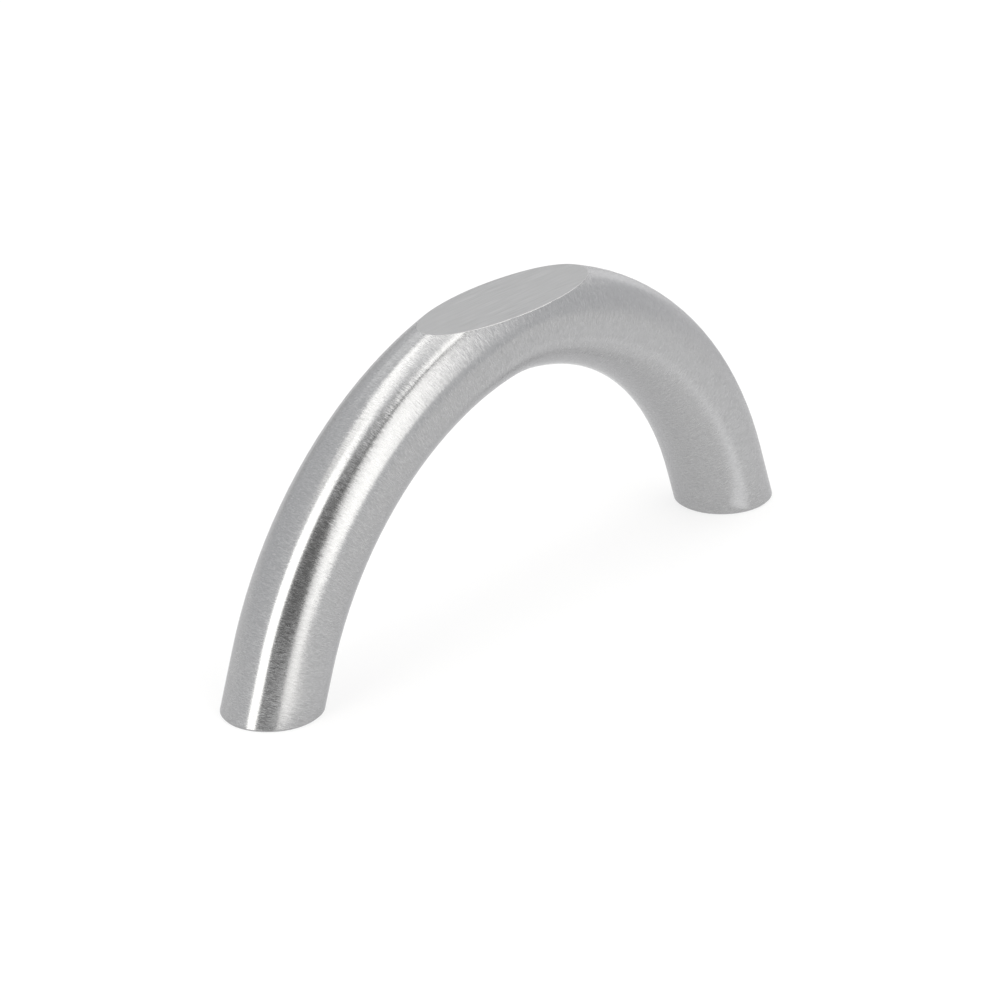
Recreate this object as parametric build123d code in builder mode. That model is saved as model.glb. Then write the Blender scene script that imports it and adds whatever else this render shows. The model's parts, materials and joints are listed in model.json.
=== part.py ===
"""Bow handle for a cabinet or drawer: one round steel bar bent into an arch.

The bar runs in one upright plane. A tight crown arc meets two wider side arcs, and each side
ends in a short straight leg that leans outwards. Both feet are cut in one plane, where a blind
tapped hole takes the fixing screw. One flat is milled across the crown.

Millimetres. +X runs from foot to foot, +Z points away from the cabinet face, and the origin lies
on that face, midway between the two screw holes.
"""

import os
from math import cos, radians, sin, tan

from build123d import *

# Bar and its bends, along the centreline
bar_diameter = 14.0
hole_spacing = 96.0
crown_radius = 26.8
crown_half_angle = 7.7
leg_length = 7.0
leg_lean = 18.6

# Flat milled on the crown
flat_depth = 3.2
flat_edge_radius = 0.2

# Rim of each foot
foot_chamfer = 0.3

# Tapped holes for the fixing screws, cut to the outside diameter of their thread
thread_diameter = 4.0
hole_depth = 10.0
drill_point_angle = 118.0
mouth_chamfer = 0.4

# Runs along X and drops along Z of each stretch of the centreline
bar_radius = bar_diameter / 2
foot_x = hole_spacing / 2
leg_angle = 90 - leg_lean
side_sweep = leg_angle - crown_half_angle
leg_run = leg_length * sin(radians(leg_lean))
leg_drop = leg_length * cos(radians(leg_lean))
crown_run = crown_radius * sin(radians(crown_half_angle))
crown_drop = crown_radius * (1 - cos(radians(crown_half_angle)))
side_run = foot_x - leg_run - crown_run
side_radius = side_run / (sin(radians(leg_angle)) - sin(radians(crown_half_angle)))
side_drop = side_radius * (cos(radians(crown_half_angle)) - cos(radians(leg_angle)))
flat_height = leg_drop + side_drop + crown_drop + bar_radius - flat_depth

# Spare length past each foot, so that the cut takes the whole section
spare_length = bar_diameter * tan(radians(leg_lean)) + foot_chamfer
spare_run = spare_length * sin(radians(leg_lean))
spare_drop = spare_length * cos(radians(leg_lean))

thread_radius = thread_diameter / 2
drill_point_height = thread_radius / tan(radians(drill_point_angle / 2))


with BuildPart() as handle_bar:
    # Round bar swept from the left foot over the crown to the right foot
    with BuildLine(Plane.XZ) as centreline:
        left_leg = Line((-foot_x - spare_run, -spare_drop), (-foot_x + leg_run, leg_drop))
        left_side = JernArc(left_leg @ 1, left_leg % 1, side_radius, -side_sweep)
        crown = JernArc(left_side @ 1, left_side % 1, crown_radius, -2 * crown_half_angle)
        right_side = JernArc(crown @ 1, crown % 1, side_radius, -side_sweep)
        right_leg = Line(right_side @ 1, right_side @ 1 + (right_side % 1) * left_leg.length)
    with BuildSketch(Plane(left_leg @ 0, z_dir=left_leg % 0)):
        Circle(bar_radius)
    sweep()

    # Feet cut in one plane, with their rims broken
    split(bisect_by=Plane.XY, keep=Keep.TOP)
    foot_faces = handle_bar.faces().filter_by(Axis.Z).group_by(Axis.Z)[0]
    chamfer(foot_faces.edges(), foot_chamfer)

    # Flat across the crown, with its sharp edge rounded
    split(bisect_by=Plane.XY.offset(flat_height), keep=Keep.BOTTOM)
    flat_face = handle_bar.faces().filter_by(Axis.Z).sort_by(Axis.Z)[-1]
    fillet(flat_face.edges(), flat_edge_radius)

    # Blind tapped holes, with a broken mouth and the drill's point at the end
    with Locations(Plane.XY.rotated((180, 0, 0))):
        with GridLocations(hole_spacing, 0, 2, 1):
            CounterSinkHole(thread_radius, thread_radius + mouth_chamfer, hole_depth)
    with Locations((-foot_x, 0, hole_depth), (foot_x, 0, hole_depth)):
        Cone(
            thread_radius,
            0,
            drill_point_height,
            align=(Align.CENTER, Align.CENTER, Align.MIN),
            mode=Mode.SUBTRACT,
        )

handle_bar.part.label = "handle_bar"

os.makedirs("parts", exist_ok=True)
export_step(handle_bar.part, "parts/handle_bar.step")
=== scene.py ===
import json
from math import cos, pi, radians, sin, tau

import bmesh
import bpy
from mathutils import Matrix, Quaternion, Vector


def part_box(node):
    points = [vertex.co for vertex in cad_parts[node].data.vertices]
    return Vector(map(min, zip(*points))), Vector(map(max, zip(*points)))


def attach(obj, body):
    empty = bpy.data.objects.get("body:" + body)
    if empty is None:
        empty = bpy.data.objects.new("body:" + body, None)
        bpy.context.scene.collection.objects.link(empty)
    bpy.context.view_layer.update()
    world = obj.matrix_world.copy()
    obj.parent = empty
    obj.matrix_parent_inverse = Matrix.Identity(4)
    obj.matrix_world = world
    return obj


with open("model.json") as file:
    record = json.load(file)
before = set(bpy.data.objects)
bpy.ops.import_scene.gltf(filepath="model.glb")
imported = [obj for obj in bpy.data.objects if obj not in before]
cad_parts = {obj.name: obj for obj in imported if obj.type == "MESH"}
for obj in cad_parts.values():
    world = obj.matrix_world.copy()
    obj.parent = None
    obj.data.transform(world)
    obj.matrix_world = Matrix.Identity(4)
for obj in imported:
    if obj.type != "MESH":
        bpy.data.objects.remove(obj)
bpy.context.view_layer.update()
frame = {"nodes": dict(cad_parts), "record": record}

MM = 0.001

# Handle, in metres: sizes from the frame, and the bends of the bar's centreline
bar = frame["nodes"]["handle_bar"]
bar_low, bar_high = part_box("handle_bar")
screw_pair = next(m for m in frame["record"]["mounts"] if m["name"] == "screw_pair")
bar_radius = (bar_high.y - bar_low.y) / 2
flat_height = bar_high.z
hole_x = screw_pair["dims"]["spacing_x_mm"] / 2 * MM
thread_radius = screw_pair["dims"]["hole_r_mm"] * MM

crown_radius = 26.8 * MM
crown_half_angle = radians(7.7)
leg_length = 7.0 * MM
leg_lean = radians(18.6)
flat_depth = 3.2 * MM

leg_angle = pi / 2 - leg_lean
leg_top_x = hole_x - leg_length * sin(leg_lean)
leg_top_z = leg_length * cos(leg_lean)
crown_centre_z = flat_height + flat_depth - bar_radius - crown_radius
side_run = leg_top_x - crown_radius * sin(crown_half_angle)
side_radius = side_run / (sin(leg_angle) - sin(crown_half_angle))
side_centre_x = leg_top_x - side_radius * sin(leg_angle)
side_centre_z = leg_top_z - side_radius * cos(leg_angle)

# Thread in the screw holes: a ridge with its foot sunk in the wall
thread_pitch = 0.7 * MM
thread_depth = 0.35 * MM
thread_sunk = 0.03 * MM
half_foot = thread_pitch * 0.45
half_crest = thread_pitch * 0.06
thread_start = 0.5 * MM
thread_turns = 12
thread_turn_steps = 36

# Cut steel of the thread
cut_colour = (0.36, 0.36, 0.365)
cut_roughness = 0.3
grain_size = 0.2 * MM
grain_shade = 0.3
grain_roughness = 0.1

# Brushed steel of the bar: smooth metal, mixed with the torn metal of its scratches
steel_colour = (0.413, 0.414, 0.417)
edge_tint = (0.85, 0.85, 0.86, 1)
smooth_roughness = 0.15
torn_roughness = 0.5
torn_share = 0.22
torn_spread = 0.35

# Lines of the brushing: scratches that show one by one, and hairs too fine to tell apart
scratch_width = 0.11 * MM
scratch_length = 0.65 * MM
scratch_slants = (0.05, -0.07)
scratch_lean = 0.03
scratch_shade = 0.45
hair_width = 0.014 * MM
hair_length = 1.0 * MM
noise_detail = 2.0
noise_middle = 0.5

# Milled flat: where its finish starts and is full below the face, how far its lines are stretched
# across and along, and how it differs from the round
flat_start = 0.05 * MM
flat_full = 0.01 * MM
flat_across = 0.6
flat_along = 0.1
flat_hair_loss = 0.6
flat_scratch_loss = 0.2
# Painted shade: the flat's colour is made 2 % darker than the round's
flat_painted_shade = 0.02
flat_roughness_gain = 0.32

# Studio: light, colours, the floor, and the heights of the painted pools of light and painted shadow that
# lie on it
plain = (1, 1, 1, 1)
warm = (1.0, 0.99, 0.965, 1)
world_colour = (0.98, 0.985, 1, 1)
world_level = 0.89
floor_colour = (0.84, 0.84, 0.84, 1)
floor_white = 0.77
floor_radius = 6.0
floor_sides = 64
panel_steps = 8
dark = 0.08
fill_height = 0.4 * MM
sheen_height = 0.5 * MM
back_sheen_height = 0.6 * MM

# Camera: its place round the handle, and the point that it aims at
camera_azimuth = radians(-48.458)
camera_elevation = radians(23.27)
camera_roll = radians(-0.477)
camera_distance = 0.945
camera_sensor = 36.0
camera_lens = 243.78
camera_nearest = 0.01
target_height = 21.0 * MM
aim_right = -0.655 * MM
aim_up = -5.31 * MM


class Signal:
    """A number, colour or vector from a node, for use in Python sums."""

    def __init__(self, finish, socket):
        self.finish = finish
        self.socket = socket

    def math(self, operation, *others):
        return self.finish.node("Math", {"operation": operation}, dict(enumerate((self, *others))))

    def __add__(self, other):
        return self.math("ADD", other)

    __radd__ = __add__

    def __mul__(self, other):
        return self.math("MULTIPLY", other)

    __rmul__ = __mul__

    def __sub__(self, other):
        return self.math("SUBTRACT", other)

    def __rsub__(self, other):
        return self.finish.node("Math", {"operation": "SUBTRACT"}, {0: other, 1: self})

    def __truediv__(self, other):
        return self.math("DIVIDE", other)

    def __pow__(self, other):
        return self.math("POWER", other)

    def __abs__(self):
        return self.math("ABSOLUTE")

    def least(self, other):
        return self.math("MINIMUM", other)

    def most(self, other):
        return self.math("MAXIMUM", other)

    def between(self, low, high):
        return self.most(low).least(high)

    def angle_from(self, other):
        return self.math("ARCTAN2", other)

    def step(self, start, end):
        """Smooth step from 0 at start to 1 at end."""
        span = {"From Min": start, "From Max": end}
        return self.finish.node("MapRange", {"interpolation_type": "SMOOTHSTEP"}, {"Value": self, **span})

    def toward(self, other, share):
        """This number, moved to another by a share."""
        return self + (other - self) * share


class Finish:
    """A node tree, with one way to add a node to it."""

    def __init__(self, tree):
        self.tree = tree
        tree.nodes.clear()

    def node(self, kind, settings=None, sockets=None, output=0):
        made = self.tree.nodes.new("ShaderNode" + kind)
        for name, value in (settings or {}).items():
            setattr(made, name, value)
        for key, value in (sockets or {}).items():
            if isinstance(value, Signal):
                self.tree.links.new(value.socket, made.inputs[key])
            else:
                made.inputs[key].default_value = value
        return Signal(self, made.outputs[output]) if made.outputs else None

    def split(self, vector):
        return [self.node("SeparateXYZ", {}, {0: vector}, axis) for axis in range(3)]

    def join(self, x, y, z):
        return self.node("CombineXYZ", {}, {0: x, 1: y, 2: z})

    def scaled(self, vector, amount):
        return self.node("VectorMath", {"operation": "SCALE"}, {0: vector, "Scale": amount})

    def summed(self, first, second):
        return self.node("VectorMath", {"operation": "ADD"}, {0: first, 1: second})

    def blend(self, share, first, second):
        """A colour or vector between two others, by the Mix node's colour sockets."""
        return self.node("Mix", {"data_type": "RGBA"}, {0: share, 6: first, 7: second}, 2)

    def noise(self, vector):
        """Noise that goes as far below zero as above it."""
        sockets = {"Vector": vector, "Scale": 1.0, "Detail": noise_detail}
        return self.node("TexNoise", {}, sockets) - noise_middle

    def position(self):
        return self.node("TexCoord", output="Object")

    def show(self, surface):
        self.node("OutputMaterial", {}, {"Surface": surface})


def new_finish(name):
    material = bpy.data.materials.new(name)
    material.use_nodes = True
    return material, Finish(material.node_tree)


def brushed_steel():
    """Stainless bar brushed round its section, with lengthwise lines on the flat."""
    material, finish = new_finish("brushed_steel")
    x, y, z = finish.split(finish.position())
    side = x.math("SIGN")
    out_x = abs(x)

    # Distance along the bend, and the angle of the bar there
    crown_angle = out_x.angle_from(z - crown_centre_z).least(crown_half_angle)
    side_angle = (out_x - side_centre_x).angle_from(z - side_centre_z)
    side_angle = side_angle.between(crown_half_angle, leg_angle) - crown_half_angle
    leg_run = ((out_x - leg_top_x) * cos(leg_angle) - (z - leg_top_z) * sin(leg_angle)).most(0)
    along = side * (crown_angle * crown_radius + side_angle * side_radius + leg_run)
    bar_angle = crown_angle + side_angle
    along_bar = finish.join(bar_angle.math("COSINE"), 0, side * bar_angle.math("SINE") * -1)
    from_bend = ((out_x - side_centre_x) ** 2 + (z - side_centre_z) ** 2).math("SQRT")

    # Lines round the bar, and lengthwise on the flat
    on_flat = z.step(flat_height - flat_start, flat_height - flat_full)
    across = along.toward(y * flat_across, on_flat)
    round_bar = (y + from_bend).toward(x * flat_along, on_flat)
    level = y.toward(x * flat_along, on_flat)
    depth = from_bend.toward(0, on_flat)

    def lines(width, length, slant):
        place = finish.join((across + round_bar * slant) / width, level / length, depth / length)
        return finish.noise(place)

    one_way, other_way = (lines(scratch_width, scratch_length, slant) for slant in scratch_slants)
    scratches = one_way + other_way
    hairs = lines(hair_width, hair_length, 0)

    # The surface leans along the bar at each line, and across the flat there
    lean = scratches * scratch_lean + hairs * (1 - on_flat * flat_hair_loss)
    lean_way = finish.blend(on_flat, along_bar, (0, 1, 0, 0))
    surface = finish.node("NewGeometry", output="Normal")
    leaning = finish.summed(surface, finish.scaled(lean_way, lean))
    normal = finish.node("VectorMath", {"operation": "NORMALIZE"}, {0: leaning})

    scratch_tone = scratches * (scratch_shade - on_flat * flat_scratch_loss)
    # The colour carries the grain of the scratches, and on the flat a painted shade that darkens it a little
    colour = finish.scaled(steel_colour, 1 + scratch_tone - on_flat * flat_painted_shade)
    polish = {"Base Color": colour, "Metallic": 1.0, "Specular Tint": edge_tint}
    roughness = smooth_roughness + on_flat * flat_roughness_gain
    smooth = finish.node("BsdfPrincipled", {}, {**polish, "Roughness": roughness, "Normal": normal})
    torn = finish.node("BsdfPrincipled", {}, {**polish, "Roughness": torn_roughness})
    torn_here = torn_share + scratches * torn_spread
    finish.show(finish.node("MixShader", {}, {0: torn_here, 1: smooth, 2: torn}))
    return material


def cut_steel():
    """Bare steel of the cut thread."""
    material, finish = new_finish("cut_steel")
    grain = finish.noise(finish.scaled(finish.position(), 1 / grain_size))
    colour = finish.scaled(cut_colour, 1 + grain * grain_shade)
    roughness = cut_roughness + grain * grain_roughness
    polish = {"Base Color": colour, "Metallic": 1.0, "Roughness": roughness}
    finish.show(finish.node("BsdfPrincipled", {}, polish))
    return material


def add_object(name, mesh_maker, material):
    mesh = bpy.data.meshes.new(name)
    shape = bmesh.new()
    mesh_maker(shape)
    shape.to_mesh(mesh)
    shape.free()
    made = bpy.data.objects.new(name, mesh)
    mesh.materials.append(material)
    bpy.context.scene.collection.objects.link(made)
    return made


def thread_ridge(shape, hole_at):
    """One helical ridge on the wall of a screw hole."""
    foot = thread_radius + thread_sunk
    crest = thread_radius - thread_depth
    middle = thread_start + half_foot
    section = ((foot, -half_foot), (crest, -half_crest), (crest, half_crest), (foot, half_foot))
    corners = [shape.verts.new((hole_at + radius, 0, middle + rise)) for radius, rise in section]
    edges = [shape.edges.new(pair) for pair in zip(corners, corners[1:] + corners[:1])]
    start = bmesh.ops.contextual_create(shape, geom=edges)["faces"]
    bmesh.ops.spin(
        shape,
        geom=corners + edges + start,
        cent=(hole_at, 0, 0),
        axis=(0, 0, 1),
        dvec=(0, 0, thread_pitch / thread_turn_steps),
        angle=tau * thread_turns,
        steps=thread_turns * thread_turn_steps,
    )
    bmesh.ops.recalc_face_normals(shape, faces=shape.faces)


def add_threads(material):
    for name, hole_at in (("left_thread", -hole_x), ("right_thread", hole_x)):
        ridge = add_object(name, lambda shape: thread_ridge(shape, hole_at), material)
        for face in ridge.data.polygons:
            face.use_smooth = False
        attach(ridge, "root")


def white_to_eye(finish):
    """1 for the camera and for what it sees in metal or glass, 0 for the light that falls on things."""
    kinds = ("Is Camera Ray", "Is Glossy Ray", "Is Transmission Ray")
    camera, glossy, transmission = (finish.node("LightPath", output=kind) for kind in kinds)
    return camera.most(glossy).most(transmission)


def add_floor():
    """Pale floor that keeps the shadow, and is clear from below."""
    material, finish = new_finish("pale_floor")
    lit = finish.node("BsdfDiffuse", {}, {"Color": floor_colour})
    white = finish.node("Emission", {}, {"Color": plain, "Strength": 1.0})
    pale = finish.node("MixShader", {}, {0: white_to_eye(finish) * floor_white, 1: lit, 2: white})
    below = finish.node("NewGeometry", output="Backfacing")
    clear = finish.node("BsdfTransparent")
    finish.show(finish.node("MixShader", {}, {0: below, 1: pale, 2: clear}))

    def disc(shape):
        bmesh.ops.create_circle(shape, cap_ends=True, radius=floor_radius, segments=floor_sides)

    add_object("floor", disc, material)


def add_world():
    world = bpy.data.worlds.new("studio")
    world.use_nodes = True
    finish = Finish(world.node_tree)
    light = finish.node("Background", {}, {"Color": world_colour, "Strength": world_level})
    finish.node("OutputWorld", {}, {"Surface": light})
    bpy.context.scene.world = world


def panel(name, corners, level, colour, soft, lights):
    """A studio panel that the camera doesn't see, with its left, right, bottom and top edges soft.

    Corners go from the low left one to the high left one. A panel that doesn't light is only mirrored.
    """
    material, finish = new_finish(name)
    glow = finish.node("Emission", {}, {"Color": colour, "Strength": level})
    u, v, _ = finish.split(finish.node("UVMap"))
    left, right, bottom, top = soft
    inside = u.step(0, left) * (1 - u).step(0, right) * v.step(0, bottom) * (1 - v).step(0, top)
    clear = finish.node("BsdfTransparent")
    finish.show(finish.node("MixShader", {}, {0: inside, 1: clear, 2: glow}))

    low_left, low_right, high_right, high_left = map(Vector, corners)
    half = 0.5

    def sheet(shape):
        bmesh.ops.create_grid(shape, x_segments=panel_steps, y_segments=panel_steps, size=half)
        place = shape.loops.layers.uv.new("place")
        for face in shape.faces:
            for loop in face.loops:
                loop[place].uv = loop.vert.co.xy + Vector((half, half))
        for vert in shape.verts:
            u, v = vert.co.x + half, vert.co.y + half
            vert.co = low_left.lerp(low_right, u).lerp(high_left.lerp(high_right, u), v)

    made = add_object(name, sheet, material)
    made.visible_camera = False
    made.visible_shadow = False
    made.visible_diffuse = lights


def lying(height, *corners):
    """Corners of a panel that lies level at a height."""
    return [(x, y, height) for x, y in corners]


def upright(depth, *corners):
    """Corners of a panel that stands upright across the handle's front, at a depth."""
    return [(x, depth, z) for x, z in corners]


def standing(left, right, distance, low, high_left, high_right):
    """Corners of a panel that stands round the handle, between two azimuths: 0 in front, 90 to the right."""
    places = ((left, low), (right, low), (right, high_right), (left, high_left))
    turns = [(radians(azimuth), height) for azimuth, height in places]
    return [(distance * sin(turn), -distance * cos(turn), height) for turn, height in turns]


def add_studio():
    """Softboxes, cards and flags round the handle, and painted pools of light and a painted shadow on the
    floor that it mirrors.

    A row is a name, corners, a level, a colour and the softness of the left, right, bottom and top edge.
    """
    round_handle = (
        (
            "left_softbox",
            ((-2, -0.35, -0.02), (-2, 0.37, -0.02), (-2, 0.33, 3.6), (-2, -0.95, 3.6)),
            3.6, warm, (0.14, 0.01, 0.002, 0.01),
        ),
        (
            "front_softbox",
            upright(-2, (-3.1, -1.05), (1.4, 0.75), (1.75, 5.1), (-1.9, 1.91)),
            2.8, warm, (0.69, 0.35, 0.05, 0.02),
        ),
        (
            "front_shade",
            upright(-1.95, (-0.55, 1.5), (1.2, 1.9), (1.2, 4.35), (-0.55, 2.9)),
            2.42, warm, (0.4, 0.35, 0.4, 0.1),
        ),
        (
            "top_back_softbox",
            lying(2, (-0.86, -0.53), (0.972, 1.17), (0.536, 1.45), (-1.38, 0.35)),
            2.88, warm, (0.1, 0.2, 0.08, 0.1),
        ),
        (
            "top_left_shade",
            lying(1.95, (-1.4, -0.03), (-0.55, -0.03), (-0.25, 0.95), (-1.4, 0.95)),
            1.65, warm, (0.05, 0.4, 0.35, 0.3),
        ),
        (
            "top_front_softbox",
            lying(2, (-0.36, -1.06), (1.2, -0.56), (1.2, 0.1), (-0.28, -0.42)),
            3.1, warm, (0.42, 0.2, 0.02, 0.7),
        ),
        (
            "top_fill",
            lying(3, (-0.4, -1.5), (1.6, -1.0), (1.6, 1.2), (-0.4, 0.7)),
            1.3, plain, (0.2, 0.2, 0.05, 0.2),
        ),
        (
            "top_right_softbox",
            lying(2, (0.47, -0.86), (3.4, -0.9), (3.4, 1.15), (0.5, 0.6)),
            2.2, warm, (0.1, 0.25, 0.15, 0.15),
        ),
        (
            "top_left_gap",
            lying(2.2, (-1.1, -1.05), (0.25, -1.0), (0.25, -0.2), (-1.1, -0.4)),
            0.55, plain, (0.25, 0.5, 0.1, 0.3),
        ),
        (
            "dark_flag",
            standing(-84, -26, 2.6, -0.05, 4.4, 4.4),
            dark, plain, (0.03, 0.1, 0.06, 0.42),
        ),
        (
            "dark_gap",
            upright(-2.2, (-2.1, 1.7), (2.4, 4.8), (2.4, 6.5), (-2.1, 3.85)),
            dark, plain, (0.45, 0.05, 0.03, 0.03),
        ),
        (
            "right_backdrop",
            standing(104, 160, 2.6, -0.05, 1.1, 3.0),
            1.1, plain, (0.03, 0.2, 0.03, 0.3),
        ),
        (
            "right_card",
            standing(104, 126, 2.4, -0.03, 0.73, 0.73),
            1.4, plain, (0.05, 0.4, 0.05, 0.2),
        ),
        (
            "back_card",
            standing(135, 180, 2.4, -0.02, 0.72, 0.72),
            0.8, plain, (0.2, 0.1, 0.02, 0.3),
        ),
        (
            "back_softbox",
            standing(140, 178, 2.4, 1.3, 3.2, 3.2),
            1.3, plain, (0.2, 0.3, 0.15, 0.3),
        ),
    )
    # Painted pools of light on the floor, and a painted shadow behind the handle (floor_back_shade), seen
    # only in the metal
    floor_light_and_shade = (
        (
            "floor_front_shine",
            lying(sheen_height, (-0.34, -0.45), (-0.105, -0.45), (-0.041, -0.012), (-0.066, -0.012)),
            1.9, warm, (0.3, 0.4, 0.2, 0.02),
        ),
        (
            "floor_front_fill",
            lying(fill_height, (-0.054, -0.07), (-0.024, -0.07), (-0.02, -0.0072), (-0.048, -0.0072)),
            1.06, plain, (0.2, 0.35, 0.3, 0.02),
        ),
        (
            "floor_left_shine",
            lying(sheen_height, (-0.06, -0.003), (-0.06, 0.003), (-0.5, 0.08), (-0.5, -0.09)),
            3.0, warm, (0.1, 0.1, 0.1, 0.1),
        ),
        (
            "floor_right_fill",
            lying(fill_height, (0.055, -0.11), (0.17, -0.105), (0.135, -0.02), (0.046, -0.0075)),
            1.11, plain, (0.1, 0.4, 0.4, 0.1),
        ),
        (
            "floor_gleam",
            lying(sheen_height, (0.041, -0.044), (0.064, -0.044), (0.0463, -0.0064), (0.0415, -0.0064)),
            1.37, plain, (0.4, 0.4, 0.5, 0.02),
        ),
        (
            "floor_back_shade",
            lying(sheen_height, (0.065, 0.0), (0.24, -0.02), (0.24, 0.2), (0.05, 0.2)),
            0.8, plain, (0.25, 0.25, 0.25, 0.25),
        ),
        (
            "floor_back_shine",
            lying(back_sheen_height, (0.042, 0.016), (0.075, 0.02), (0.08, 0.055), (0.038, 0.045)),
            1.24, plain, (0.35, 0.35, 0.35, 0.35),
        ),
    )
    for row in round_handle:
        panel(*row, lights=True)
    for row in floor_light_and_shade:
        panel(*row, lights=False)


def add_camera():
    data = bpy.data.cameras.new("camera")
    data.sensor_width = camera_sensor
    data.lens = camera_lens
    data.clip_start = camera_nearest
    level_run = cos(camera_elevation)
    back = Vector((sin(camera_azimuth) * level_run, -cos(camera_azimuth) * level_run, sin(camera_elevation)))
    right = Vector((cos(camera_azimuth), sin(camera_azimuth), 0))
    up = back.cross(right)
    target = Vector((0, 0, target_height))
    eye = target + back * camera_distance
    aim = target + right * aim_right + up * aim_up
    camera = bpy.data.objects.new("camera", data)
    camera.rotation_mode = "QUATERNION"
    camera.location = eye
    camera.rotation_quaternion = (eye - aim).to_track_quat("Z", "Y") @ Quaternion((0, 0, 1), camera_roll)
    bpy.context.scene.collection.objects.link(camera)
    bpy.context.scene.camera = camera


bar.data.materials.clear()
bar.data.materials.append(brushed_steel())
add_threads(cut_steel())
add_floor()
add_world()
add_studio()
add_camera()
bpy.context.scene.view_settings.view_transform = "Standard"
